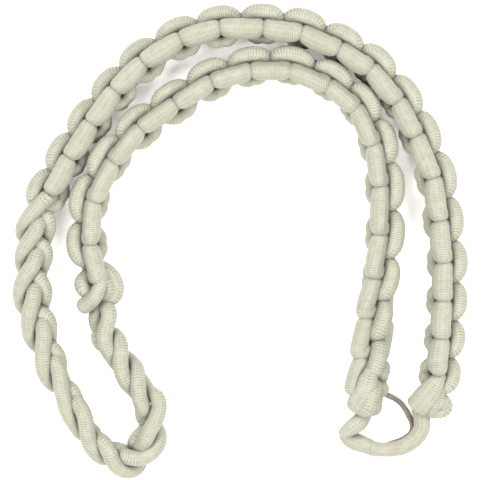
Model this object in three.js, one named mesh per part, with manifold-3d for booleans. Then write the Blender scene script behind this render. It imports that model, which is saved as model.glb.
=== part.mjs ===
// Aiguillette: a knotted shoulder cord laid flat, in millimetres, +Z up.
// Two legs of interlocking square knots are joined at the left by a plait, and at the lower right
// by a plain bridge cord and a thin button elastic. The surface that it lies on is z = 0.
import * as THREE from 'three';
import { mergeVertices } from 'three/addons/utils/BufferGeometryUtils.js';
import Module from 'manifold-3d';

const wasm = await Module();
wasm.setup();

// Cords
const cordDiameter = 6.4; // round braided cord of the knots
const bridgeDiameter = 5.8; // the same cord where it is pulled plain and tight
const elasticDiameter = 2;
const tailDiameter = 6.8; // knot tails and lobes, where the cord is slack

// Bands
const knotWidth = 16.7; // a square knot, over its two side loops
const plaitWidth = 15; // over the three plaited strands
const plaitDepth = 13.6; // the plait from its upper to its lower side
const plaitRoll = 32; // degrees that the plait is turned about its own length
const clearance = 0.3; // between pieces that touch

// Facets
const sideLoopSteps = 8; // round a flat loop
const frontLoopSteps = 6; // round a loop on edge, which shows its long straight top
const rimSteps = 3; // round the half of its cord that shows
const cordSides = 6;
const plaitSides = 5;
const plaitStepsPerCrossing = 2;
const cordStep = 4; // along the short cords
const swingSamples = 36; // places where a strand's swing is tried for its lowest point

// One row for each square knot of the outer leg, from its lower right end round to the plait:
// x and y of the knot's middle, its roll in degrees, which lifts its outer loop, and its lift.
const outerKnots = [
  [74.2, -49.5, 6, 0],
  [75.9, -36.1, 10, 0],
  [76.7, -22, 10, 0],
  [76.9, -7.5, 12, 0],
  [75.4, 8.2, 12, 0],
  [72.7, 24.3, 10, 0],
  [66.6, 40.1, 14, 0],
  [59.6, 53.4, 16, 0],
  [49.3, 65.6, 18, 0],
  [37.3, 73.5, 20, 0],
  [22.9, 79.5, 18, 0],
  [8.2, 81.3, 15, 0],
  [-7.9, 80.4, 3, 0],
  [-22.7, 76.1, 2, 0],
  [-36.6, 67.5, 0, 0],
  [-47.2, 56.9, 0, 0],
  [-56.4, 44.8, 4, 0],
  [-64.7, 32, 6, 0],
  [-72, 18.7, 6, 0],
];

// The same for the inner leg, from the plait's end round to its lower right end.
const innerKnots = [
  [-54.4, -15.4, 12, 0],
  [-57.3, -0.8, 12, 0],
  [-56.3, 15.7, 18, 0.9],
  [-48.8, 30.7, 18, 1.7],
  [-37.7, 42.7, 6, 0.5],
  [-24.6, 52, 5, 0],
  [-11.1, 60.4, 8, 0],
  [3.6, 65.2, 18, 0],
  [18.7, 65.6, 24, 0.9],
  [33.2, 59.9, 24, 1.2],
  [44, 50.9, 22, 0.7],
  [50.8, 36.9, 20, 0.2],
  [53.4, 20.9, 18, 0],
  [53.4, 2.9, 20, 0],
  [51.7, -13.5, 28, 0],
  [49.9, -28.9, 50, 0],
  [48.4, -43.9, 58, 0],
  [46.1, -57.8, 58, 0],
];

// One row for each crossing of the plait, from the outer leg down and round to its end knot:
// x and y of the plait's middle, and its slimness as a share of plaitWidth and plaitDepth.
const plaitCrossings = [
  [-72, 21, 1],
  [-76.1, 10.8, 1],
  [-77.6, -0.4, 1],
  [-78.6, -13.2, 1],
  [-77.7, -26.7, 1],
  [-73.1, -40.5, 0.95],
  [-66.4, -56.3, 0.9],
  [-58.1, -71.3, 0.86],
  [-47.6, -81.4, 0.88],
  [-36.8, -80.3, 0.9],
  [-33.8, -68.7, 0.87],
  [-36.8, -55.9, 0.82],
  [-43.1, -45.8, 0.8],
  [-48.8, -36.4, 0.8],
  [-51.8, -27.1, 0.85],
  [-52.9, -18.8, 0.85],
];

// Middles of the short cords that make the end knots, the bridge and the elastic.
const cordRoutes = {
  plaitTail: [
    [-53.6, -13.2, 11.5], [-52.5, -16.9, 13], [-53.3, -20.7, 12.4], [-56.3, -23.7, 9.6], [-59.6, -25.2, 7.5],
  ],
  plaitLobe: [
    [-53.2, -10.8, 6.2], [-49.5, -11.7, 8], [-47.2, -15.8, 8.6], [-47.6, -19.9, 7.4], [-50.6, -22.2, 5],
  ],
  plaitUnder: [[-58.5, -18.3, 4.4], [-55.2, -22.3, 4.2], [-50.7, -20.3, 3.9]],
  innerTail: [
    [49.9, -48.8, 11.5], [48, -52.9, 12.2], [45.7, -57, 11], [43.5, -60.4, 8.8], [42.3, -61.9, 7.6],
  ],
  innerLobe: [[53.6, -54.8, 8.4], [52.1, -59.3, 7.6], [49.9, -62.3, 6], [46.9, -63.1, 4.6]],
  innerUnder: [[44.8, -55.3, 4.4], [48.3, -60.3, 4], [46.9, -63.1, 4.6]],
  outerWrap: [
    [73.8, -51.8, 10.5], [71.6, -55.5, 12], [67.9, -58.9, 11], [65, -61.2, 7.6], [65.2, -63.1, 4.6],
  ],
  outerLobe: [[68.1, -58.7, 8.6], [71.8, -59.3, 9], [75.2, -60.3, 7.4], [76.2, -61.9, 5.8]],
  outerLobeEnd: [[76, -62.1, 5.4], [73.3, -63.4, 5], [69.4, -62.9, 4.4], [65.8, -60.8, 4]],
  bridgeFold: [[47, -64.1, 5.4], [44.8, -67.5, 5], [41.6, -69.7, 4.4], [39.4, -71.5, 3.6]],
  bridgeRun: [
    [39.4, -71.5, 3.2], [40.8, -74.5, 2.9], [45.2, -76.9, 2.9], [51.8, -78.2, 2.9], [58.8, -77.7, 2.9],
    [64.8, -75.1, 2.9], [67.7, -70.7, 3], [67.8, -65.3, 3.4], [67.4, -61.9, 3.8],
  ],
  elastic: [
    [53.4, -57.7, 3.6], [56.8, -59.3, 3.4], [60.8, -61.9, 3.2], [63.3, -65.7, 3], [63, -69.7, 2.8],
    [61, -72.5, 2.4], [58, -73.9, 2], [55.2, -74.2, 1.6],
  ],
};

// Sizes that follow from the driving ones
const cordRadius = cordDiameter / 2;
const loopReach = (knotWidth - cordDiameter) / 2; // knot's middle to a loop's middle line
const sideLoopFullness = 2.3; // 2 is an ellipse, more is squarer
const frontLoopFullness = 3;
const loopFill = 0.94; // a loop's length as a share of the knots' spacing
const knotsPressed = 2; // knots at a leg's end that its end knot or the plait presses on
const knotsApart = 6; // knots at the outer leg's lower end that lie clear of the inner leg

/** Turns a closed three.js geometry into a solid with shared vertices. */
function solidOf(geometry) {
  geometry.deleteAttribute('normal');
  geometry.deleteAttribute('uv');
  const merged = mergeVertices(geometry);
  const triangles = [];
  for (let i = 0; i < merged.index.count; i += 3) {
    const [a, b, c] = merged.index.array.slice(i, i + 3);
    if (a !== b && b !== c && c !== a) triangles.push(a, b, c);
  }
  return new wasm.Manifold(new wasm.Mesh({
    numProp: 3,
    vertProperties: Float32Array.from(merged.attributes.position.array),
    triVerts: Uint32Array.from(triangles),
  }));
}

/** The largest separate body of a solid, which drops slivers that a cut leaves. */
function mainBody(solid) {
  return solid.decompose().reduce((best, next) => (next.volume() > best.volume() ? next : best));
}

/** Turns a solid back into a named mesh. */
function meshOf(name, solid, material) {
  const { vertProperties, triVerts } = mainBody(solid).getMesh();
  const geometry = new THREE.BufferGeometry();
  geometry.setAttribute('position', new THREE.BufferAttribute(vertProperties, 3));
  geometry.setIndex(new THREE.BufferAttribute(triVerts, 1));
  geometry.computeVertexNormals();
  const mesh = new THREE.Mesh(geometry, material);
  mesh.name = name;
  return mesh;
}

const fuse = (solids) => wasm.Manifold.union(solids);

const smoothLine = (points) => new THREE.CatmullRomCurve3(points, false, 'catmullrom', 0.5);

/** A band's middle line through its rows, with the sideways and upward directions of its knots. */
class Band {
  constructor(rows, outward) {
    this.middle = smoothLine(rows.map(([x, y]) => new THREE.Vector3(x, y, 0)));
    this.lay = smoothLine(rows.map(([, , roll, lift]) => new THREE.Vector3(roll, lift, 0)));
    this.last = rows.length - 1;
    this.outward = outward; // 1 where the outside of the loop is on the left of the way along
  }

  /** Place and directions at row number t, with the spacing of the rows and the lay there. */
  at(t) {
    const near = 0.01;
    const from = Math.max(t - near, 0);
    const to = Math.min(t + near, this.last);
    const along = this.middle.getPoint(to / this.last).sub(this.middle.getPoint(from / this.last));
    along.divideScalar(to - from);
    const pitch = along.length();
    along.normalize();
    const side = new THREE.Vector3(-along.y, along.x, 0).multiplyScalar(this.outward);
    const { x: roll, y: lift } = this.lay.getPoint(t / this.last);
    return { centre: this.middle.getPoint(t / this.last), along, side, pitch, roll, lift };
  }
}

/** Height of a knot's middle when its lowest loop rests on the surface. */
function restHeight(roll) {
  return cordRadius + loopReach * Math.max(Math.abs(Math.cos(roll)), Math.abs(Math.sin(roll)));
}

/**
 * One loop of a knot: a squared ellipse of cord lying along the band, flat or on edge. Its hole is
 * filled, because the neighbouring loops pass through it and press it full.
 */
function knotLoop(band, place, onEdge, grow) {
  const { centre, along, side, pitch, roll, lift } = band.at(place);
  const radius = cordRadius + grow;
  const rim = Array.from({ length: rimSteps + 1 }, (_, i) => {
    const turn = Math.PI * (i / rimSteps - 0.5);
    const out = Math.cos(turn) / Math.cos(Math.PI / 2 / rimSteps); // the rim's outermost facet is at 1
    return new THREE.Vector2(loopReach + radius * out, radius * Math.sin(turn));
  });
  const profile = [new THREE.Vector2(0, -radius), ...rim, new THREE.Vector2(0, radius)];
  const firstCorner = onEdge ? Math.PI / frontLoopSteps : 0; // as an angle from the loop's crest
  const geometry = new THREE.LatheGeometry(profile, onEdge ? frontLoopSteps : sideLoopSteps, firstCorner);

  // The round form is stretched to the knots' spacing and squared at its corners
  const halfLength = (pitch / 2) * loopFill - cordRadius;
  const fullness = onEdge ? frontLoopFullness : sideLoopFullness;
  const square = (value) => Math.sign(value) * Math.abs(value) ** (2 / fullness);
  const vertex = new THREE.Vector3();
  const { position } = geometry.attributes;
  for (let i = 0; i < position.count; i += 1) {
    vertex.fromBufferAttribute(position, i);
    const far = Math.hypot(vertex.x, vertex.z);
    if (far > 0) {
      const share = Math.min(far / loopReach, 1);
      const past = Math.max(far - loopReach, 0); // out from the cord's middle line
      const length = (halfLength * share + past) * square(vertex.x / far);
      const reach = (loopReach * share + past) * square(vertex.z / far) / square(Math.cos(firstCorner));
      position.setXYZ(i, length, vertex.y, reach);
    }
  }

  const rollAngle = THREE.MathUtils.degToRad(roll);
  const tilt = rollAngle + (onEdge ? Math.PI / 2 : 0);
  const reachWay = side.multiplyScalar(Math.cos(tilt)).setZ(Math.sin(tilt));
  const thickWay = new THREE.Vector3().crossVectors(reachWay, along);
  const placing = new THREE.Matrix4().makeBasis(along, thickWay, reachWay);
  geometry.applyMatrix4(placing.setPosition(centre.setZ(restHeight(rollAngle) + lift)));
  return solidOf(geometry);
}

/** The loops of a leg from one place to another: each flat loop is a knot, linked by loops on edge. */
function knotLoops(band, first, last, grow = 0) {
  const loops = [];
  for (let place = first; place <= last; place += 0.5) {
    loops.push(knotLoop(band, place, !Number.isInteger(place), grow));
  }
  return fuse(loops);
}

/** A round section for an extruded cord. */
function roundSection(radius, sides) {
  const corners = Array.from({ length: sides }, (_, i) => {
    const turn = (2 * Math.PI * i) / sides;
    return new THREE.Vector2(radius * Math.cos(turn), radius * Math.sin(turn));
  });
  return new THREE.Shape(corners);
}

/** A cord of round section along a curve, closed at both ends. */
function cordAlong(path, diameter, steps, sides) {
  return solidOf(new THREE.ExtrudeGeometry(roundSection(diameter / 2, sides), { extrudePath: path, steps }));
}

/** A short cord through the points of a route. */
function cordThrough(points, diameter) {
  const path = smoothLine(points.map((point) => new THREE.Vector3(...point)));
  return cordAlong(path, diameter, Math.ceil(path.getLength() / cordStep) + 1, cordSides);
}

/** Where a plaited strand runs, sideways and upward of the plait's middle, at one point of its swing. */
function strandOffset(slimness, swing) {
  const roll = THREE.MathUtils.degToRad(plaitRoll);
  const across = ((slimness * plaitWidth - cordDiameter) / 2) * Math.sin(swing);
  const above = ((slimness * plaitDepth - cordDiameter) / 2) * Math.sin(2 * swing);
  return {
    sideways: across * Math.cos(roll) + above * Math.sin(roll),
    upward: above * Math.cos(roll) - across * Math.sin(roll),
  };
}

/** Height of the plait's middle when its lowest strand rests on the surface. */
function plaitHeight(slimness) {
  const swings = Array.from({ length: swingSamples }, (_, i) => (2 * Math.PI * i) / swingSamples);
  return cordRadius - Math.min(...swings.map((swing) => strandOffset(slimness, swing).upward));
}

/** One of the plait's three strands: it swings across once and up and down twice in each turn. */
class PlaitStrand extends THREE.Curve {
  constructor(number) {
    super();
    this.band = new Band(plaitCrossings.map(([x, y]) => [x, y, plaitRoll, 0]), 1);
    this.slimness = smoothLine(plaitCrossings.map(([, , slimness]) => new THREE.Vector3(slimness, 0, 0)));
    this.number = number;
  }

  getPoint(u) {
    const place = u * this.band.last;
    const { centre, side } = this.band.at(place);
    const slimness = this.slimness.getPoint(u).x;
    const { sideways, upward } = strandOffset(slimness, (2 * Math.PI * (place + this.number)) / 3);
    return centre.addScaledVector(side, sideways).setZ(plaitHeight(slimness) + upward);
  }
}

/** The three strands pressed together. */
function plaitSolid(grow = 0) {
  const steps = Math.round(plaitCrossings.length * plaitStepsPerCrossing);
  const strand = (number) => cordAlong(new PlaitStrand(number), cordDiameter + 2 * grow, steps, plaitSides);
  return fuse([0, 1, 2].map(strand));
}

/** Short cords of one diameter pressed together. */
function cords(names, diameter, grow = 0) {
  return fuse(names.map((name) => cordThrough(cordRoutes[name], diameter + 2 * grow)));
}

const outerBand = new Band(outerKnots, -1);
const innerBand = new Band(innerKnots, 1);
const outerEnd = outerBand.last;
const innerEnd = innerBand.last;

// Each piece is cut back by its neighbours' forms grown by the clearance
const outerChain = knotLoops(outerBand, 0, outerEnd);
const innerChain = knotLoops(innerBand, 0, innerEnd)
  .subtract(knotLoops(outerBand, knotsApart, outerEnd, clearance));

const plaitKnotCords = ['plaitTail', 'plaitLobe', 'plaitUnder'];
const innerKnotCords = ['innerTail', 'innerLobe', 'innerUnder'];
const outerKnotCords = ['outerWrap', 'outerLobe', 'outerLobeEnd'];
const bridgeCords = ['bridgeFold', 'bridgeRun'];

const plaitEndKnot = cords(plaitKnotCords, tailDiameter)
  .subtract(knotLoops(innerBand, 0, knotsPressed, clearance));
const innerEndKnot = cords(innerKnotCords, tailDiameter)
  .subtract(knotLoops(innerBand, innerEnd - knotsPressed, innerEnd, clearance));
const outerEndKnot = cords(outerKnotCords, tailDiameter)
  .subtract(knotLoops(outerBand, 0, knotsPressed, clearance));
const plait = plaitSolid()
  .subtract(knotLoops(outerBand, outerEnd - knotsPressed, outerEnd, clearance))
  .subtract(knotLoops(innerBand, 0, 1, clearance))
  .subtract(cords(plaitKnotCords, tailDiameter, clearance));
const bridge = cords(bridgeCords, bridgeDiameter)
  .subtract(cords([...innerKnotCords, ...outerKnotCords], tailDiameter, clearance))
  .subtract(knotLoops(innerBand, innerEnd - 1, innerEnd, clearance));
const elastic = cords(['elastic'], elasticDiameter)
  .subtract(cords([...innerKnotCords, ...outerKnotCords], tailDiameter, clearance))
  .subtract(cords(bridgeCords, bridgeDiameter, clearance))
  .subtract(knotLoops(innerBand, innerEnd - 1, innerEnd, clearance));

const cordMaterial = new THREE.MeshStandardMaterial({ color: '#d3d2c4', roughness: 0.8, metalness: 0 });
const elasticMaterial = new THREE.MeshStandardMaterial({ color: '#a39f92', roughness: 0.7, metalness: 0 });

const aiguillette = new THREE.Group();
aiguillette.add(meshOf('outer_chain', outerChain, cordMaterial));
aiguillette.add(meshOf('inner_chain', innerChain, cordMaterial));
aiguillette.add(meshOf('plait', plait, cordMaterial));
aiguillette.add(meshOf('plait_end_knot', plaitEndKnot, cordMaterial));
aiguillette.add(meshOf('inner_end_knot', innerEndKnot, cordMaterial));
aiguillette.add(meshOf('outer_end_knot', outerEndKnot, cordMaterial));
aiguillette.add(meshOf('bridge_cord', bridge, cordMaterial));
aiguillette.add(meshOf('button_elastic', elastic, elasticMaterial));

// The origin is the middle of the whole piece, on the surface that it lies on
const reach = new THREE.Box3().setFromObject(aiguillette);
aiguillette.position.set(-(reach.min.x + reach.max.x) / 2, -(reach.min.y + reach.max.y) / 2, -reach.min.z);

export default aiguillette;
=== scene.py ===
"""The looks of a knotted shoulder cord that lies flat, seen from straight above.

Two legs of interlocking square knots are joined by a plait at the left, and by a plain bridge cord and a
thin button elastic at the lower right. Every cord is a braided section carried along a smooth path, and
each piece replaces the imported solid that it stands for. Lengths are in millimetres until a mesh is made.
"""

import logging
import math
from collections.abc import Sequence
from dataclasses import dataclass
from enum import Enum

import bpy
import numpy as np
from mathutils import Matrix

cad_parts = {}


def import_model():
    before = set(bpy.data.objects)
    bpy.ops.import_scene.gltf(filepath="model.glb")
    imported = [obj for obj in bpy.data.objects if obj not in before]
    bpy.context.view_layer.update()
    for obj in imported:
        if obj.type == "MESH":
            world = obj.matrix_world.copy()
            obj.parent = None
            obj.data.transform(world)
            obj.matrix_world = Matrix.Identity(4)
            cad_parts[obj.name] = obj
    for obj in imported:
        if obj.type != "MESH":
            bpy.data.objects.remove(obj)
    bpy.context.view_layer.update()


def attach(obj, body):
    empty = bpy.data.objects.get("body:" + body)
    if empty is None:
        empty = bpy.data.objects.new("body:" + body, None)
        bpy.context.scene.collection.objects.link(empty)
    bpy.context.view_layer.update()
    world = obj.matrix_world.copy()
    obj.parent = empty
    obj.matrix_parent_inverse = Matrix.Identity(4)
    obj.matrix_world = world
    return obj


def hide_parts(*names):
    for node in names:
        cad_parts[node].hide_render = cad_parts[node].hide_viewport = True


MM = 0.001
TURN = 2.0 * math.pi
UP = np.array([0.0, 0.0, 1.0])
LOG = logging.getLogger("shoulder_cord")

# The photograph's frame, and where its middle lies on the surface
PHOTO_WIDTH_PX = 481
PHOTO_MM_PER_PX = 0.375
PHOTO_MIDDLE_MM = (0.01, 0.44)

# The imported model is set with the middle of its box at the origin, which moves its routes by this much
ROUTES_SHIFT_MM = np.array([0.21, -0.26, 0.0])

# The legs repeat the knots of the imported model: x, y, roll in degrees and lift
OUTER_KNOTS = (
    (74.2, -49.5, 6, 0), (75.9, -36.1, 10, 0), (76.7, -22, 10, 0), (76.9, -7.5, 12, 0), (75.4, 8.2, 12, 0),
    (72.7, 24.3, 10, 0), (66.6, 40.1, 14, 0), (59.6, 53.4, 16, 0), (49.3, 65.6, 18, 0), (37.3, 73.5, 20, 0),
    (22.9, 79.5, 18, 0), (8.2, 81.3, 15, 0), (-7.9, 80.4, 3, 0), (-22.7, 76.1, 2, 0), (-36.6, 67.5, 0, 0),
    (-47.2, 56.9, 0, 0), (-56.4, 44.8, 4, 0), (-64.7, 32, 6, 0), (-72, 18.7, 6, 0),
)
INNER_KNOTS = (
    (-54.4, -15.4, 12, 0), (-57.3, -0.8, 12, 0), (-56.3, 15.7, 18, 0.9), (-48.8, 30.7, 18, 1.7),
    (-37.7, 42.7, 6, 0.5), (-24.6, 52, 5, 0), (-11.1, 60.4, 8, 0), (3.6, 65.2, 18, 0), (18.7, 65.6, 24, 0.9),
    (33.2, 59.9, 24, 1.2), (44, 50.9, 22, 0.7), (50.8, 36.9, 20, 0.2), (53.4, 20.9, 18, 0),
    (53.4, 2.9, 20, 0), (51.7, -13.5, 28, 0), (49.9, -28.9, 50, 0), (48.4, -43.9, 58, 0),
    (46.1, -57.8, 58, 0),
)

# The plait's strands as x, y and z of their middles, placed on the picture with guessed heights
PLAIT_STRANDS = (
    ((-71.1, 17.8, 5.5), (-71.9, 17.2, 9.5), (-73.1, 16.2, 11.8), (-75.5, 13.9, 11.6), (-78.2, 11, 11.2),
      (-80.3, 8.1, 9.8), (-81.6, 5.5, 7.6), (-81.8, 3.2, 5.2), (-80.6, 1.6, 3.6), (-78.6, 0.6, 4.6),
      (-76.3, -0.5, 8.2), (-74.6, -1.8, 8.6), (-73.6, -3.6, 8), (-73.6, -5.7, 7), (-74.3, -7.9, 5.4),
      (-75.5, -10.6, 3.7), (-76.4, -13.7, 3.8), (-77, -16.2, 7), (-77.4, -18.4, 10.4), (-78, -22.2, 11.4),
      (-79.1, -25.9, 11.2), (-79.6, -30.1, 10), (-79.3, -34.2, 7.8), (-78, -37.2, 5.2), (-76.1, -39, 3.6),
      (-73.9, -39.6, 4.4), (-71.7, -39.8, 8.2), (-70.1, -40.8, 8.6), (-68.8, -42.7, 8), (-68.2, -45.4, 6.8),
      (-68.2, -48.4, 5), (-67.3, -51.8, 3.5), (-65.3, -55.7, 3.6), (-63.2, -58.4, 6.6), (-61.3, -60.5, 10),
      (-59.1, -64, 11.2), (-58, -68.3, 11.4), (-57.4, -72.6, 11), (-56.3, -76.5, 9.8), (-54.5, -79.1, 7.6),
      (-52.4, -80.8, 5), (-50.5, -80.9, 3.4), (-49.5, -79, 3.3), (-47.9, -78, 5), (-45.8, -78.4, 5.6),
      (-43.5, -79.4, 4), (-41.1, -79, 3.3), (-38.6, -77.6, 4.6), (-36.8, -76.1, 8.4), (-35.5, -73.4, 11),
      (-34, -70.2, 11.8), (-32.1, -66.8, 11.6), (-30.9, -63.4, 11), (-30.8, -60.6, 10.4), (-31.5, -58.5, 9.4),
      (-33.2, -57.3, 7.6), (-35.1, -56, 5.6), (-36.2, -54.2, 4.4), (-37.7, -52.2, 3.4), (-40.5, -50.3, 3.2),
      (-43.6, -48.2, 3.3), (-46.1, -46.1, 4.4), (-48.1, -43.4, 7.6), (-49.9, -40.5, 10.4),
      (-50.9, -37.2, 11.3), (-50.9, -33.4, 11.3), (-49.9, -29.9, 10.9), (-49.4, -26.7, 10), (-50.6, -24.2, 8),
      (-52.5, -22.2, 6)),
    ((-72.8, 15.7, 3.3), (-73.3, 13.1, 3.3), (-74.5, 10.4, 4), (-75.4, 8.4, 7.6), (-76.1, 6.5, 10.4),
      (-77.2, 3.7, 11.4), (-79.1, 0.8, 11.3), (-81, -2.3, 10), (-82, -5.1, 8), (-82.1, -7.7, 5.6),
      (-81.2, -10, 3.8), (-79.6, -11.3, 4.2), (-77.6, -12.4, 7.6), (-75.8, -13.9, 8.8), (-74.2, -16.6, 8.4),
      (-73.7, -18.9, 7.6), (-74.1, -21.2, 6.2), (-74.9, -23.9, 4.4), (-75, -26.5, 3.5), (-74.6, -28.7, 6),
      (-74.3, -31.2, 10), (-73.9, -35.2, 11.3), (-74.2, -39.9, 11.5), (-74.3, -44.6, 11), (-74, -48, 9.4),
      (-72.6, -51.2, 6.8), (-70.9, -53.1, 4.6), (-68.6, -54.2, 3.6), (-66.6, -54.6, 4.4), (-64.5, -55, 7.8),
      (-62.9, -57, 8.4), (-62, -59.5, 7.2), (-61.3, -62.5, 5), (-60.2, -66, 3.5), (-58.1, -69.8, 3.4),
      (-55.5, -73, 4), (-53.5, -74.1, 7.4), (-51.5, -75.5, 10.2), (-49.5, -78.7, 10.8), (-48.2, -81.8, 10),
      (-46.3, -84.4, 8), (-43.9, -85.8, 6), (-41.3, -85.9, 4.4), (-38.8, -84.2, 3.3), (-38.3, -81.2, 3.2),
      (-39.2, -78.4, 3.6), (-39.7, -75.8, 4.6), (-38.8, -73.7, 5.2), (-37.1, -72, 4.6), (-35.3, -69.8, 3.4),
      (-34.3, -67.4, 3.8), (-35.3, -64.9, 6.8), (-36.6, -62.3, 9.6), (-38, -58.4, 11.2), (-38.6, -54, 11.5),
      (-38.8, -50.1, 10.6), (-39.3, -47.5, 8.4), (-41.1, -45.4, 5.4), (-43.9, -43.5, 3.4),
      (-47.3, -41.5, 3.2), (-50.1, -39.6, 3.4), (-52.3, -38.3, 4.4), (-53.5, -36.4, 5), (-53, -34.3, 4.4),
      (-52, -32.3, 3.4), (-51.4, -29.3, 3.2)),
    ((-76.1, 17.2, 3.4), (-76.9, 14.6, 3.4), (-76.3, 12.5, 5), (-74.6, 10.8, 7.8), (-72.8, 8.9, 8.4),
      (-72.2, 6.7, 7.8), (-72.6, 4.3, 6.4), (-73.7, 1.8, 4.4), (-74.8, -0.6, 3.4), (-75.8, -2.7, 6.4),
      (-76.6, -4.9, 10.2), (-77.9, -8.4, 11.4), (-80, -11.7, 11.4), (-81.8, -14.9, 10.4), (-82.7, -18.1, 8.8),
      (-82.7, -21.1, 7), (-81.8, -23.9, 5), (-80.1, -25.3, 3.7), (-78.2, -25.9, 4.2), (-76, -26.5, 7.8),
      (-73.9, -27.5, 8.6), (-72.6, -28.9, 8.4), (-71.9, -31.4, 7.6), (-72, -34.2, 6), (-72.3, -36.8, 4.2),
      (-71.8, -39.6, 3.5), (-70.7, -42, 6), (-69.4, -44.9, 9.8), (-68.1, -49.4, 11.2), (-67.3, -54.5, 11.5),
      (-66.3, -59.1, 11), (-65.5, -62.7, 9.8), (-64, -65.9, 8), (-62.1, -68.7, 6.2), (-60.6, -70.9, 5),
      (-59.1, -72, 3.6), (-57.3, -71.1, 4), (-55.9, -71.1, 5.4), (-55.1, -73, 5.2), (-54.1, -75, 4.2),
      (-52.5, -77.1, 3.4), (-49.9, -78.8, 3.2), (-47.3, -79.9, 3.6), (-45.5, -80.2, 6), (-43.6, -80.4, 8.2),
      (-40.7, -81, 9), (-37.3, -81, 8.8), (-34.3, -79.6, 8.6), (-32.1, -77.5, 8.2), (-30.9, -74.9, 7.2),
      (-30.9, -72.2, 5.6), (-32.1, -69.8, 3.8), (-33.8, -67.9, 3.2), (-35.5, -67, 3.8), (-36.7, -65.7, 4.8),
      (-37, -63, 4.8), (-37.5, -60, 3.6), (-38.7, -57.4, 3.6), (-40.3, -55.5, 4.8), (-41.9, -53.9, 7.8),
      (-43.3, -52, 10.2), (-44.7, -48.6, 11.3), (-45.2, -44.7, 11.5), (-45.1, -40.7, 11), (-45.6, -37.5, 9.4),
      (-47.1, -35.5, 6.4), (-49.5, -34.4, 4), (-51.8, -33.4, 3.6), (-53.7, -31.7, 4.6), (-54.4, -28.9, 5.8),
      (-53.9, -25.9, 6), (-53.1, -22.9, 6)),
)


def smooth_line(points: Sequence[Sequence[float]], places: np.ndarray) -> tuple[np.ndarray, np.ndarray]:
    """Runs a smooth line through points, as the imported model's routes do.

    Between two points it is the cubic that leaves and reaches them with half the step between their
    neighbours as its slope. Past either end it goes straight on.

    Args:
        points: The points that the line passes through, one a row.
        places: Where to read the line, as row numbers with fractions.

    Returns:
        The places on the line, and its slopes for each step of one row.
    """
    rows = np.asarray(points, float)
    padded = np.vstack([2 * rows[0] - rows[1], rows, 2 * rows[-1] - rows[-2]])
    inside = np.clip(places, 0.0, len(rows) - 1.0)
    first = np.minimum(inside.astype(int), len(rows) - 2)
    share = (inside - first)[:, None]
    a, b, c, d = (padded[first + step] for step in range(4))
    bend, swing = 2 * a - 5 * b + 4 * c - d, 3 * b - a - 3 * c + d
    line = 0.5 * (2 * b + (c - a) * share + bend * share**2 + swing * share**3)
    slope = 0.5 * ((c - a) + 2 * bend * share + 3 * swing * share**2)
    return line + slope * (places - inside)[:, None], slope


def unit(vectors: np.ndarray) -> np.ndarray:
    """Scales each row to a length of one."""
    return vectors / np.linalg.norm(vectors, axis=-1, keepdims=True)


def run_length(path: np.ndarray) -> np.ndarray:
    """Length along a path up to each of its points."""
    return np.concatenate([[0.0], np.cumsum(np.linalg.norm(np.diff(path, axis=0), axis=1))])


def signed_power(values: np.ndarray, power: float | np.ndarray) -> np.ndarray:
    """Raises sizes to a power and keeps their signs."""
    return np.sign(values) * np.abs(values) ** power


def linear(hex_colour: str) -> tuple[float, float, float, float]:
    """Turns an sRGB hex colour into the linear colour that a shader socket takes."""
    levels = [int(hex_colour[i:i + 2], 16) / 255 for i in (1, 3, 5)]
    toe, knee = 0.04045, 2.4
    red, green, blue = (v / 12.92 if v <= toe else ((v + 0.055) / 1.055) ** knee for v in levels)
    return red, green, blue, 1.0


@dataclass(frozen=True)
class Braid:
    """A tubular braid: stitches in columns round the cord, which slant left and right in turn."""

    stitch_mm: float = 0.84
    columns: int = 12
    slant: float = 0.4
    relief_mm: float = 0.075
    mean_height: float = 0.6
    points_per_stitch: int = 3
    points_per_column: int = 2

    @property
    def step_mm(self) -> float:
        """Distance between the mesh's rows along the cord."""
        return self.stitch_mm / self.points_per_stitch

    @property
    def sides(self) -> int:
        """Points round the cord."""
        return self.columns * self.points_per_column

    def relief(self, length_mm: np.ndarray, around: np.ndarray) -> np.ndarray:
        """Height of the stitches over the cord's mean surface.

        A stitch is the size of a sine between two of its zeros. Its phase rises with the length, and by the
        slant across each column, up one column and down the next.

        Args:
            length_mm: Length along the cord of each row.
            around: Place round the cord of each column of points, from 0 to 1.

        Returns:
            A grid of heights in millimetres, a row for each length.
        """
        zigzag = np.abs((around * self.columns + 1) % 2 - 1)
        phase = length_mm[:, None] / self.stitch_mm + self.slant * zigzag[None, :]
        return self.relief_mm * (np.abs(np.sin(math.pi * phase)) - self.mean_height)


@dataclass(frozen=True)
class Section:
    """The section of a cord at each point of its path, and how square each half of it is."""

    half_top: np.ndarray
    half_side: np.ndarray
    top_square: float = 2.0
    bottom_square: float = 2.0
    domes: tuple[float, float] = (1.0, 1.0)


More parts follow.
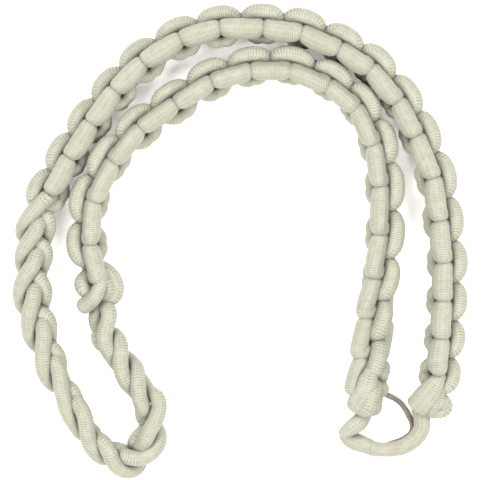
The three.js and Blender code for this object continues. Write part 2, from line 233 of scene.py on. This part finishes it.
class CordMesh:
    """Gathers closed tubes of cord and makes them one mesh."""

    DOME_ANGLES = np.radians([80.0, 60.0, 40.0, 20.0])

    def __init__(self, braid: Braid) -> None:
        """Starts an empty mesh of one braid."""
        self.braid = braid
        self.points: list[np.ndarray] = []
        self.corners: list[np.ndarray] = []
        self.face_sizes: list[np.ndarray] = []
        self.corner_uvs: list[np.ndarray] = []
        self.point_count = 0

    def add_tube(self, path: np.ndarray, top: np.ndarray, section: Section, closed: bool,
                 worked: np.ndarray | None = None) -> None:
        """Carries a section along a path.

        A point of the surface is the path's point, plus the top direction times the cosine of its place
        round the cord, plus the side direction times the sine, each times its half size and the stitches'
        relief. Both are raised to two over the squareness first. The ends of an open cord are domes: the
        section shrinks by a cosine as it moves on by a sine.

        Args:
            path: Middle of the cord, spaced evenly at the braid's step.
            top: Direction of the section's top at each point of the path.
            section: The section's sizes and squareness.
            closed: Whether the path closes on itself.
            worked: Length of braid used up to each point, where that isn't the path's own length.
        """
        if closed:
            along = unit(np.roll(path, -1, axis=0) - np.roll(path, 1, axis=0))
        else:
            along = unit(np.gradient(path, axis=0))
        top = unit(top - along * np.sum(top * along, axis=1, keepdims=True))
        side = np.cross(top, along)
        length = run_length(path) if worked is None else worked
        half_top, half_side = section.half_top, section.half_side
        if not closed:
            angles = self.DOME_ANGLES
            first = min(half_top[0], half_side[0]) * section.domes[0] * np.sin(angles)
            last = min(half_top[-1], half_side[-1]) * section.domes[1] * np.sin(angles[::-1])
            path = np.vstack([path[0] - along[0] * first[:, None], path,
                              path[-1] + along[-1] * last[:, None]])
            shrink = np.concatenate([np.cos(angles), np.ones(len(length)), np.cos(angles[::-1])])
            pad = ((len(angles), len(angles)), (0, 0))
            top, side = np.pad(top, pad, "edge"), np.pad(side, pad, "edge")
            half_top = np.pad(half_top, len(angles), "edge") * shrink
            half_side = np.pad(half_side, len(angles), "edge") * shrink
            length = np.concatenate([length[0] - first, length, length[-1] + last])
        around = np.arange(self.braid.sides + 1) / self.braid.sides
        turn = TURN * around[:-1]
        power = 2.0 / np.where(np.cos(turn) >= 0.0, section.top_square, section.bottom_square)
        high, wide = signed_power(np.cos(turn), power), signed_power(np.sin(turn), power)
        relief = self.braid.relief(length, around[:-1])
        grid = (path[:, None, :] + top[:, None, :] * ((half_top[:, None] + relief) * high)[:, :, None]
                + side[:, None, :] * ((half_side[:, None] + relief) * wide)[:, :, None])
        self._join(grid, length, around, closed)

    def _join(self, grid: np.ndarray, length: np.ndarray, around: np.ndarray, closed: bool) -> None:
        """Adds a grid of points as faces of four corners, with a flat cap at each end of an open cord."""
        rows, sides = grid.shape[:2]
        bands = rows if closed else rows - 1
        row, column = np.meshgrid(np.arange(bands), np.arange(sides), indexing="ij")
        next_row, next_column = (row + 1) % rows, (column + 1) % sides
        quads = np.stack([row * sides + column, next_row * sides + column,
                          next_row * sides + next_column, row * sides + next_column], axis=-1)
        step = np.linalg.norm(grid[0].mean(axis=0) - grid[-1].mean(axis=0)) if closed else 0.0
        reach = np.append(length, length[-1] + step)
        uvs = np.stack([
            np.stack([around[column], reach[row]], axis=-1),
            np.stack([around[column], reach[row + 1]], axis=-1),
            np.stack([around[column + 1], reach[row + 1]], axis=-1),
            np.stack([around[column + 1], reach[row]], axis=-1),
        ], axis=-2)
        self.corners.append(quads.reshape(-1) + self.point_count)
        self.corner_uvs.append(uvs.reshape(-1, 2))
        self.face_sizes.append(np.full(bands * sides, 4))
        if not closed:
            ring = np.arange(sides)
            for cap, end in ((ring, 0), (ring[::-1] + (rows - 1) * sides, -1)):
                self.corners.append(cap + self.point_count)
                self.corner_uvs.append(np.stack([around[cap % sides], np.full(sides, length[end])], axis=-1))
                self.face_sizes.append(np.array([sides]))
        self.points.append(grid.reshape(-1, 3))
        self.point_count += rows * sides

    def make(self, name: str) -> bpy.types.Object:
        """Makes the gathered tubes one object, in metres, with the braid's own UV map.

        A cord is pressed flat where it rests, so no point lies lower than the surface.

        Args:
            name: The piece's name.

        Returns:
            The object, at the origin, with its place in its mesh.
        """
        corners, sizes = np.concatenate(self.corners), np.concatenate(self.face_sizes)
        places = np.concatenate(self.points)
        places += ROUTES_SHIFT_MM
        places[:, 2] = np.maximum(places[:, 2], 0.0)
        mesh = bpy.data.meshes.new(name)
        mesh.vertices.add(self.point_count)
        mesh.vertices.foreach_set("co", (places * MM).ravel())
        mesh.loops.add(len(corners))
        mesh.loops.foreach_set("vertex_index", corners)
        mesh.polygons.add(len(sizes))
        mesh.polygons.foreach_set("loop_start", np.concatenate([[0], np.cumsum(sizes)[:-1]]))
        mesh.polygons.foreach_set("use_smooth", np.ones(len(sizes), bool))
        mesh.uv_layers.new(name=BraidedCord.UV_MAP)
        mesh.uv_layers[BraidedCord.UV_MAP].data.foreach_set("uv", np.concatenate(self.corner_uvs).ravel())
        mesh.update(calc_edges=True)
        mesh.validate()
        piece = bpy.data.objects.new(name, mesh)
        bpy.context.collection.objects.link(piece)
        LOG.info("%s: %d triangles", name, int(np.sum(sizes - 2)))
        return piece


def add_node(tree: bpy.types.NodeTree, kind: str, settings: dict | None = None,
             links: dict | None = None) -> bpy.types.Node:
    """Adds a shader node.

    Args:
        tree: The material's node tree.
        kind: The node's type name.
        settings: Attributes of the node, and values of its inputs by name or number.
        links: Output sockets that feed its inputs, by name or number.

    Returns:
        The new node.
    """
    node = tree.nodes.new(kind)
    for key, value in (settings or {}).items():
        if isinstance(key, int) or key in node.inputs:
            node.inputs[key].default_value = value
        else:
            setattr(node, key, value)
    for key, source in (links or {}).items():
        tree.links.new(source, node.inputs[key])
    return node


@dataclass(frozen=True)
class BraidedCord:
    """Finish of a tubular braided cord: bright rounded stitches with fine darker lines between them, which
    are painted shade in the stitches' grooves.

    Creases, where cords press together, are darkened with painted shade that an ambient occlusion node reads.
    """

    name: str
    thread: str
    # Colour of the painted shade in the grooves between stitches
    stitch_gap_shade: str
    tint: str
    # Colour of the painted shade in creases
    painted_crease_shade: str
    braid: Braid
    roughness: float = 0.7
    sheen: float = 0.25
    sheen_roughness: float = 0.5
    gloss: float = 0.3
    stitch_flatness: float = 0.6
    groove: float = 0.22
    groove_sharpness: float = 6.0
    unevenness: float = 2.4
    fibre_contrast: float = 0.3
    mottles_per_m: float = 160.0
    patches_per_m: float = 420.0
    fibres_per_m: float = 1600.0
    # How far and how finely the painted crease shade looks for nearby surfaces, and which openness is darkest
    # and which is clear
    crease_mm: float = 3.5
    crease_samples: int = 6
    crease_range: tuple[float, float] = (0.1, 0.75)
    bump_strength: float = 0.5
    bump_share: float = 1.5

    UV_MAP = "braid"

    def material(self) -> bpy.types.Material:
        """Builds the material.

        Returns:
            A material that draws the stitches from the piece's own UV map, at the braid's stitch size.
        """
        material = bpy.data.materials.new(self.name)
        material.use_nodes = True
        tree = material.node_tree
        tree.nodes.clear()

        def math_node(operation: str, *inputs: object) -> bpy.types.NodeSocket:
            """Adds one sum on sockets or numbers and returns its result."""
            numbers = {index: value for index, value in enumerate(inputs) if isinstance(value, (int, float))}
            sockets = {index: value for index, value in enumerate(inputs) if index not in numbers}
            return add_node(tree, "ShaderNodeMath", {"operation": operation, **numbers}, sockets).outputs[0]

        uv = add_node(tree, "ShaderNodeUVMap", {"uv_map": self.UV_MAP})
        parts = add_node(tree, "ShaderNodeSeparateXYZ", links={"Vector": uv.outputs["UV"]})
        column = math_node("MULTIPLY", parts.outputs["X"], self.braid.columns)
        zigzag = math_node("MULTIPLY", math_node("PINGPONG", column, 1.0), self.braid.slant)
        phase = math_node("MULTIPLY_ADD", parts.outputs["Y"], 1.0 / self.braid.stitch_mm, zigzag)
        wave = math_node("ABSOLUTE", math_node("SINE", math_node("MULTIPLY", phase, math.pi)))
        stitch = math_node("POWER", wave, self.stitch_flatness)
        edge = math_node("ABSOLUTE", math_node("COSINE", math_node("MULTIPLY", column, math.pi)))
        groove = math_node("MULTIPLY", math_node("POWER", edge, self.groove_sharpness), self.groove)
        height = math_node("SUBTRACT", stitch, groove)

        place = add_node(tree, "ShaderNodeTexCoord")

        def noise(per_m: float, detail: float) -> bpy.types.Node:
            """Adds a noise of so many spots a metre, fixed to the piece."""
            return add_node(tree, "ShaderNodeTexNoise", {"Scale": per_m, "Detail": detail},
                            {"Vector": place.outputs["Object"]})

        mottle = noise(self.mottles_per_m, 3.0)
        patches = noise(self.patches_per_m, 2.0)
        fibre = noise(self.fibres_per_m, 2.0)
        tinted = add_node(tree, "ShaderNodeMix",
                          {"data_type": "RGBA", 6: linear(self.thread), 7: linear(self.tint)},
                          {0: mottle.outputs["Fac"]})
        brightness = math_node("MULTIPLY_ADD", fibre.outputs["Fac"], self.fibre_contrast,
                               1.0 - self.fibre_contrast / 2)
        lit = add_node(tree, "ShaderNodeMix", {"data_type": "RGBA", "blend_type": "MULTIPLY", 0: 1.0},
                       {6: tinted.outputs[2], 7: brightness})
        contrast = math_node("MULTIPLY_ADD", patches.outputs["Fac"], self.unevenness,
                             1.0 - self.unevenness / 2)
        # Painted shade in the grooves: the colour goes towards the gap shade colour where the stitches'
        # relief is low, more so in the noise's patches
        shade = math_node("MULTIPLY", math_node("SUBTRACT", 1.0, height), contrast)
        coloured = add_node(tree, "ShaderNodeMix", {"data_type": "RGBA", 6: linear(self.stitch_gap_shade)},
                            {0: math_node("SUBTRACT", 1.0, shade), 7: lit.outputs[2]})
        # Painted shade: where an ambient occlusion node finds other surfaces near, the colour mixes towards
        # the crease shade colour
        openness = add_node(tree, "ShaderNodeAmbientOcclusion",
                            {"samples": self.crease_samples, "Distance": self.crease_mm * MM})
        darkest, clear = self.crease_range
        lifted = add_node(tree, "ShaderNodeMapRange", {"From Min": darkest, "From Max": clear},
                          {"Value": openness.outputs["AO"]})
        crease_shaded = add_node(tree, "ShaderNodeMix", {"data_type": "RGBA", 6: linear(self.painted_crease_shade)},
                        {0: lifted.outputs["Result"], 7: coloured.outputs[2]})
        bump_mm = self.braid.relief_mm * self.bump_share
        bump = add_node(tree, "ShaderNodeBump", {"Strength": self.bump_strength, "Distance": bump_mm * MM},
                        {"Height": height})
        shader = add_node(tree, "ShaderNodeBsdfPrincipled",
                          {"Roughness": self.roughness, "Sheen Weight": self.sheen,
                           "Sheen Roughness": self.sheen_roughness, "Specular IOR Level": self.gloss},
                          {"Base Color": crease_shaded.outputs[2], "Normal": bump.outputs["Normal"]})
        add_node(tree, "ShaderNodeOutputMaterial", links={"Surface": shader.outputs["BSDF"]})
        return material


def dress(piece: bpy.types.Object, finish: bpy.types.Material, node: str) -> None:
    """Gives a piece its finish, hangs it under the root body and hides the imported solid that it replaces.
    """
    piece.data.materials.append(finish)
    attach(piece, "root")
    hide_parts(node)


class Facing(Enum):
    """How a loop of a knot lies on its leg."""

    FLAT = "flat_loops"
    ON_EDGE = "bars"


@dataclass(frozen=True)
class LoopForm:
    """Form of one kind of loop.

    The fills are the lengths of its outer and inner half as shares of the rows' spacing, and the fullness
    is how square its path is. The corner is how much thicker the cord is at the path's corners, where its
    neighbours press it square.
    """

    fullness: float
    outer_fill: float
    inner_fill: float
    outer_square: float
    inner_square: float
    corner_mm: float = 0.0


@dataclass
class KnottedLeg:
    """A leg of square knots: flat loops side by side, each linked to the next by a loop on edge.

    The first fill is the outer fill of the leg's first flat loop, which an end knot may press shorter.
    """

    node: str
    rows: Sequence[Sequence[float]]
    outward: int
    cord_mm: float = 6.4
    knot_width_mm: float = 16.7
    bar_width_mm: float = 6.4
    bar_swell_mm: float = 1.5
    inner_cord_mm: float = 5.6
    inner_drop_mm: float = 1.8
    pinch_mm: float = 1.1
    pinch_width: float = 0.2
    overlap_mm: float = 0.8
    bar_overlap_mm: float = 0.7
    first_fill: float = 1.25
    samples: int = 721
    flat_form: LoopForm = LoopForm(2.4, 1.25, 1.0, 2.2, 2.2)
    edge_form: LoopForm = LoopForm(5.0, 1.1, 1.1, 2.7, 1.7, 0.9)

    @property
    def reach_mm(self) -> float:
        """From a knot's middle to the middle of the cord in its loops."""
        return (self.knot_width_mm - self.cord_mm) / 2

    def lay(self, places: np.ndarray) -> tuple[np.ndarray, np.ndarray, np.ndarray, np.ndarray]:
        """Reads the leg's middle line.

        Args:
            places: Row numbers with fractions.

        Returns:
            The middle of the leg with its height, the sideways and the upward direction of its knots, and
            the line's slopes, which are as long as the rows' spacing.
        """
        line, slope = smooth_line(self.rows, places)
        roll = np.radians(line[:, 2])
        flat = np.column_stack([slope[:, :2], np.zeros(len(places))])
        level = np.cross(UP, unit(flat)) * self.outward
        sideways = level * np.cos(roll)[:, None] + UP * np.sin(roll)[:, None]
        upward = UP * np.cos(roll)[:, None] - level * np.sin(roll)[:, None]
        middle = line[:, :3].copy()
        lowest = np.maximum(np.abs(np.cos(roll)), np.abs(np.sin(roll)))
        middle[:, 2] = self.cord_mm / 2 + self.reach_mm * lowest + line[:, 3]
        return middle, sideways, upward, flat

    def add_loop(self, mesh: CordMesh, place: float, facing: Facing) -> None:
        """Adds one loop.

        Its middle line is a squared ellipse: the cosine and the sine of the angle, each raised to two over
        the fullness, give the shares of its half length along the leg and of its reach from the middle. The
        inner half of a flat loop is thinner and lower, and pinched at its middle by a bell curve. The end
        that is nearer to the picture's lower edge lies over the next loop of its kind. A bar swells on its
        inner side between its ends, and its stitches are spaced evenly on its outer surface.

        Args:
            mesh: The mesh that takes the loop.
            place: The loop's row number.
            facing: Whether it lies flat or stands on edge.
        """
        form = self.flat_form if facing is Facing.FLAT else self.edge_form
        forward = self.lay(np.array([place]))[3][0]
        pitch = np.linalg.norm(forward)
        angle = np.linspace(0.0, TURN, self.samples)
        outer_fill = self.first_fill if place == 0 else form.outer_fill
        fill = (outer_fill + form.inner_fill + (outer_fill - form.inner_fill) * np.sin(angle)) / 2
        half_length = pitch / 2 * fill - self.cord_mm / 2
        along = half_length * signed_power(np.cos(angle), 2.0 / form.fullness)
        reach = self.reach_mm * signed_power(np.sin(angle), 2.0 / form.fullness)
        length = run_length(np.stack([along, reach], axis=1))
        if facing is Facing.ON_EDGE:
            heading = np.unwrap(np.arctan2(np.gradient(reach), np.gradient(along)))
            length = length + self.cord_mm / 2 * np.abs(heading - heading[0])
        count = round(length[-1] / mesh.braid.step_mm)
        even = np.arange(count) * length[-1] / count
        along, reach, angle = (np.interp(even, length, values) for values in (along, reach, angle))
        middle, sideways, upward, _ = self.lay(place + along / pitch)
        overlap = self.overlap_mm if facing is Facing.FLAT else self.bar_overlap_mm
        lean = -overlap * forward[1] / pitch * along / np.max(along)
        if facing is Facing.FLAT:
            inner = (1.0 - np.sin(angle)) / 2
            pinch = np.exp(-(((angle - 0.75 * TURN) / self.pinch_width) ** 2))
            half = (self.cord_mm - (self.cord_mm - self.inner_cord_mm) * inner - self.pinch_mm * pinch) / 2
            path = middle + sideways * reach[:, None] + upward * (lean - self.inner_drop_mm * inner)[:, None]
            section = Section(half, half, form.outer_square, form.inner_square)
            mesh.add_tube(path, upward, section, closed=True)
        else:
            swell = self.bar_swell_mm / 2 * np.cos(math.pi * along / pitch)
            half = self.cord_mm / 2 + form.corner_mm * np.sin(2 * angle) ** 4
            section = Section(self.bar_width_mm / 2 + swell, half, form.outer_square, form.inner_square)
            path = middle + upward * (reach + lean)[:, None] - sideways * swell[:, None]
            mesh.add_tube(path, sideways, section, closed=True, worked=even)

    def build(self, braid: Braid, facing: Facing) -> bpy.types.Object:
        """Builds the leg's loops of one kind, flat ones on the rows or ones on edge between them."""
        mesh = CordMesh(braid)
        shift = 0.0 if facing is Facing.FLAT else 0.5
        for place in np.arange(shift, len(self.rows) - shift):
            self.add_loop(mesh, place, facing)
        return mesh.make(f"{self.node}_{facing.value}")


@dataclass
class Plait:
    """The three-strand plait. Each strand dives under its neighbours and comes up again on both sides."""

    strands: Sequence[Sequence[Sequence[float]]]
    cord_mm: float = 6.0
    samples_per_row: int = 60

    def build(self, braid: Braid) -> bpy.types.Object:
        """Builds the strands, each with its rows spaced evenly along it."""
        mesh = CordMesh(braid)
        for rows in self.strands:
            places = np.linspace(0.0, len(rows) - 1.0, self.samples_per_row * len(rows))
            length = run_length(smooth_line(rows, places)[0])
            even = np.arange(0.0, length[-1], mesh.braid.step_mm)
            path, _ = smooth_line(rows, np.interp(even, length, places))
            half = np.full(len(path), self.cord_mm / 2)
            mesh.add_tube(path, np.tile(UP, (len(path), 1)), Section(half, half), closed=False)
        return mesh.make("plait_strands")


@dataclass
class CordRun:
    """One short cord. Each row holds x, y and z of its middle, its width and its depth."""

    rows: Sequence[Sequence[float]]
    square: float = 2.0
    domes: tuple[float, float] = (1.0, 1.0)
    samples_per_row: int = 200

    def add_to(self, mesh: CordMesh) -> None:
        """Adds the cord to a mesh, with its rows spaced evenly along it."""
        places = np.linspace(0.0, len(self.rows) - 1.0, self.samples_per_row * len(self.rows))
        length = run_length(smooth_line(self.rows, places)[0][:, :3])
        even = np.arange(0.0, length[-1], mesh.braid.step_mm)
        line, _ = smooth_line(self.rows, np.interp(even, length, places))
        section = Section(line[:, 4] / 2, line[:, 3] / 2, self.square, self.square, self.domes)
        mesh.add_tube(line[:, :3], np.tile(UP, (len(line), 1)), section, closed=False)


@dataclass
class Knot:
    """A knot or plain run that is made of short cords."""

    node: str
    cords: Sequence[CordRun]

    def build(self, braid: Braid) -> bpy.types.Object:
        """Builds the cords as one piece."""
        mesh = CordMesh(braid)
        for cord in self.cords:
            cord.add_to(mesh)
        return mesh.make(f"{self.node}_cords")


# The knot's wrapping cord with its trimmed tail, then the two layers of its right lobe
PLAIT_END_KNOT = Knot("plait_end_knot", (
    CordRun(((-51.6, -12.2, 11.6, 4.4, 5), (-52.3, -14.7, 13, 4.8, 5.4), (-53.1, -17.3, 13.4, 5.2, 5.6),
             (-54.4, -20.1, 12.8, 5.6, 5.8), (-56.5, -22.4, 11.4, 6, 6), (-59, -24.1, 9.8, 6.4, 6)),
            domes=(1.0, 0.8)),
    CordRun(((-52.9, -9.8, 8.5, 6, 6.2), (-50.6, -11.1, 9.2, 6.4, 6.4), (-48.8, -12.8, 9.4, 6.6, 6.6),
             (-47.5, -15.4, 9, 6.8, 6.6), (-47.2, -18.1, 8.4, 6.8, 6.6), (-48.1, -20.1, 7.8, 6.8, 6.4),
             (-50.1, -20.9, 7, 6.4, 6.2), (-51.8, -20.1, 6, 6, 6))),
    CordRun(((-51.6, -12.8, 9.8, 5, 6.5), (-50.3, -15.1, 10.2, 6, 6.8), (-50, -17.5, 9.8, 6.4, 6.6),
             (-50.9, -19.7, 8.6, 6, 6))),
))
# The broad flat tail, then the lobes at its right from the lowest to the highest
INNER_END_KNOT = Knot("inner_end_knot", (
    CordRun(((48.4, -49.2, 12.4, 5.6, 5.2), (47.6, -51.8, 12.9, 7.4, 5.6), (46.7, -54.8, 12.6, 8, 5.8),
             (45.1, -57.8, 11.6, 8, 5.8), (43.7, -60.2, 10.4, 7.8, 5.6), (42.9, -61.5, 9.6, 7.4, 5.4)),
            square=2.4),
    CordRun(((45.4, -61.2, 3.6, 6, 5.4), (47.8, -62.2, 4.2, 6.4, 5.8), (50.4, -62.1, 4.2, 6.6, 5.8))),
    CordRun(((49.7, -55.5, 4.6, 5.4, 5.4), (50.4, -57.8, 4.8, 5.6, 5.4), (50.6, -60, 4, 5.4, 5.2))),
    CordRun(((48.4, -53.3, 6, 6.2, 6.2), (50.6, -54.4, 6.4, 6.6, 6.4), (52.6, -55.4, 6.2, 6.8, 6.4))),
    CordRun(((48.4, -47.5, 7.8, 6.2, 6.2), (50.6, -48.2, 8, 6.7, 6.4), (52.9, -48.6, 7.8, 7, 6.4))),
))
# The wrapping cord and the fold beside it, then the cord that turns back in two lobes
OUTER_END_KNOT = Knot("outer_end_knot", (
    CordRun(((74.2, -50.7, 11.6, 5.2, 5), (72.2, -53.9, 11.8, 7.4, 5.6), (69.9, -57, 11, 8.8, 6),
             (67.5, -60, 9.2, 9, 6.2), (65.9, -61.9, 7.8, 8.8, 6.2)), square=2.3, domes=(1.0, 0.4)),
    CordRun(((73.5, -53.7, 9.6, 6.4, 5.8), (72.9, -56.7, 9.4, 7.4, 6), (72.4, -59.7, 8.4, 7.6, 6.2),
             (71.2, -62.1, 6.8, 6.6, 6))),
    CordRun(((70.1, -59.1, 8, 6, 5.6), (73.5, -59.6, 8.4, 6.2, 5.8), (75.8, -60.2, 7.6, 6, 5.6),
             (76.7, -61.7, 6.6, 5.8, 5.4), (75.6, -63.1, 5.8, 6, 5.6), (72.7, -63.4, 5.2, 6, 5.6),
             (69.7, -62.7, 4.8, 5.8, 5.4))),
))
# The two layers of the fold, then the plain run
BRIDGE_CORD = Knot("bridge_cord", (
    CordRun(((47.6, -61.5, 5.4, 5.8, 5.6), (46.3, -64.7, 6.4, 5.8, 5.6), (44.6, -67.4, 7, 6.4, 5.6),
             (42.3, -69.2, 7, 6.2, 5.4), (39.9, -70.7, 6.4, 5.2, 5.2), (38.8, -71.5, 5.8, 4.6, 5))),
    CordRun(((39.5, -72.8, 3.4, 5.6, 5.2), (41.2, -74.4, 3, 6.2, 5.4), (43.9, -75.5, 2.9, 6.6, 5.4),
             (46.7, -76.5, 2.9, 6.2, 5.4), (49.5, -77.7, 2.8, 5.6, 5.2))),
    CordRun(((48.7, -77.7, 3.1, 5.5, 5.6), (52.1, -78.1, 3.1, 5.4, 5.6), (56.2, -78.1, 3, 5.5, 5.6),
             (60.4, -77.3, 3, 5.7, 5.6), (63.9, -75.4, 3, 6, 5.7), (66.6, -72.8, 3.1, 6.2, 5.8),
             (68, -69.4, 3.4, 6.3, 6), (67.8, -65.7, 3.9, 6.3, 6), (67.3, -62.7, 4.4, 6.2, 6)),
            domes=(0.3, 1.0)),
))
BUTTON_ELASTIC = Knot("button_elastic", (
    CordRun(((52.9, -56.3, 4.6, 2, 2), (55.1, -57.6, 4.3, 2.1, 2), (57.7, -58.9, 4, 2.1, 2),
             (60.2, -60.8, 3.6, 2.1, 2), (61.8, -63, 3.2, 2.1, 2), (63, -65.3, 2.7, 2.1, 2),
             (64.1, -67.4, 2.1, 2.1, 2), (64.6, -69.6, 1.6, 2.1, 2), (64, -71.9, 1.3, 2.1, 2),
             (62, -73.7, 1.2, 2.1, 2), (59.6, -74.9, 1.1, 2.1, 2), (57, -75.7, 1, 2, 2),
             (54.7, -76.5, 1, 1.8, 1.8))),
))


@dataclass
class Studio:
    """A pale floor, a ring of soft lamps with a faint sky, and the camera straight above the cord."""

    camera_height_mm: float = 2000.0
    focus_height_mm: float = 9.0
    sensor_mm: float = 36.0
    floor_mm: float = 3000.0
    floor_glow: float = 0.3
    sky_strength: float = 0.1
    lamps: int = 6
    lamp_watts: float = 10.6
    lamp_mm: float = 600.0
    lamp_away_mm: float = 1000.0
    lamp_height_mm: float = 1080.0

    def build(self) -> None:
        """Builds the floor, the light and the camera."""
        scene = bpy.context.scene
        scene.view_settings.view_transform = "Standard"
        self._floor()
        self._light()
        data = bpy.data.cameras.new("overhead_camera")
        data.sensor_width = self.sensor_mm
        view_mm = PHOTO_WIDTH_PX * PHOTO_MM_PER_PX
        data.lens = self.sensor_mm * (self.camera_height_mm - self.focus_height_mm) / view_mm
        data.clip_end = 100.0
        camera = bpy.data.objects.new("overhead_camera", data)
        camera.location = (PHOTO_MIDDLE_MM[0] * MM, PHOTO_MIDDLE_MM[1] * MM, self.camera_height_mm * MM)
        bpy.context.collection.objects.link(camera)
        scene.camera = camera

    def _floor(self) -> None:
        """Lays a plain pale floor, which glows a little, on the surface that the cord rests on."""
        half = self.floor_mm * MM / 2
        mesh = bpy.data.meshes.new("paper_floor")
        mesh.from_pydata([(-half, -half, 0), (half, -half, 0), (half, half, 0), (-half, half, 0)], [],
                         [(0, 1, 2, 3)])
        floor = bpy.data.objects.new("paper_floor", mesh)
        material = bpy.data.materials.new("matt_white_paper")
        material.use_nodes = True
        shader = material.node_tree.nodes["Principled BSDF"]
        shader.inputs["Base Color"].default_value = linear("#fdfcfa")
        shader.inputs["Roughness"].default_value = 0.9
        shader.inputs["Emission Color"].default_value = linear("#fffefb")
        shader.inputs["Emission Strength"].default_value = self.floor_glow
        mesh.materials.append(material)
        bpy.context.collection.objects.link(floor)

    def _light(self) -> None:
        """Sets a faint even sky, and lamps in a ring that point at the cord, so that hollows stay dark."""
        world = bpy.data.worlds.new("soft_sky")
        world.use_nodes = True
        sky = world.node_tree.nodes["Background"]
        sky.inputs["Color"].default_value = linear("#fffefb")
        sky.inputs["Strength"].default_value = self.sky_strength
        bpy.context.scene.world = world
        data = bpy.data.lights.new("soft_ring_lamp", "AREA")
        data.shape, data.size = "DISK", self.lamp_mm * MM
        data.energy = self.lamp_watts
        for turn in np.arange(self.lamps) * TURN / self.lamps:
            lamp = bpy.data.objects.new("soft_ring_lamp", data)
            lamp.location = (self.lamp_away_mm * MM * math.cos(turn), self.lamp_away_mm * MM * math.sin(turn),
                             self.lamp_height_mm * MM)
            lamp.rotation_euler = (0.0, math.atan2(self.lamp_away_mm, self.lamp_height_mm), turn)
            bpy.context.collection.objects.link(lamp)


def main() -> None:
    """Builds every piece in order."""
    logging.basicConfig(level=logging.INFO, format="%(name)s: %(message)s")
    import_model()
    Studio().build()
    braid = Braid()
    elastic_braid = Braid(stitch_mm=0.9, columns=6, slant=0.5, relief_mm=0.08)
    # Each finish takes the thread colour, the painted shade in stitch grooves, a tint, and the painted shade
    # in creases
    rayon = BraidedCord("braided_rayon", "#acaca0", "#84826f", "#9e9c89", "#4b4a3e", braid).material()
    elastic = BraidedCord("braided_elastic", "#a39b88", "#2e2a22", "#6a6353", "#1d1a15",
                          elastic_braid).material()
    for leg in (KnottedLeg("outer_chain", OUTER_KNOTS, -1),
                KnottedLeg("inner_chain", INNER_KNOTS, 1, first_fill=0.8, bar_width_mm=6.2,
                           bar_swell_mm=0.8)):
        for facing in Facing:
            dress(leg.build(braid, facing), rayon, leg.node)
    dress(Plait(PLAIT_STRANDS).build(braid), rayon, "plait")
    for knot in (PLAIT_END_KNOT, INNER_END_KNOT, OUTER_END_KNOT, BRIDGE_CORD):
        dress(knot.build(braid), rayon, knot.node)
    dress(BUTTON_ELASTIC.build(elastic_braid), elastic, "button_elastic")


if __name__ == "__main__":
    main()
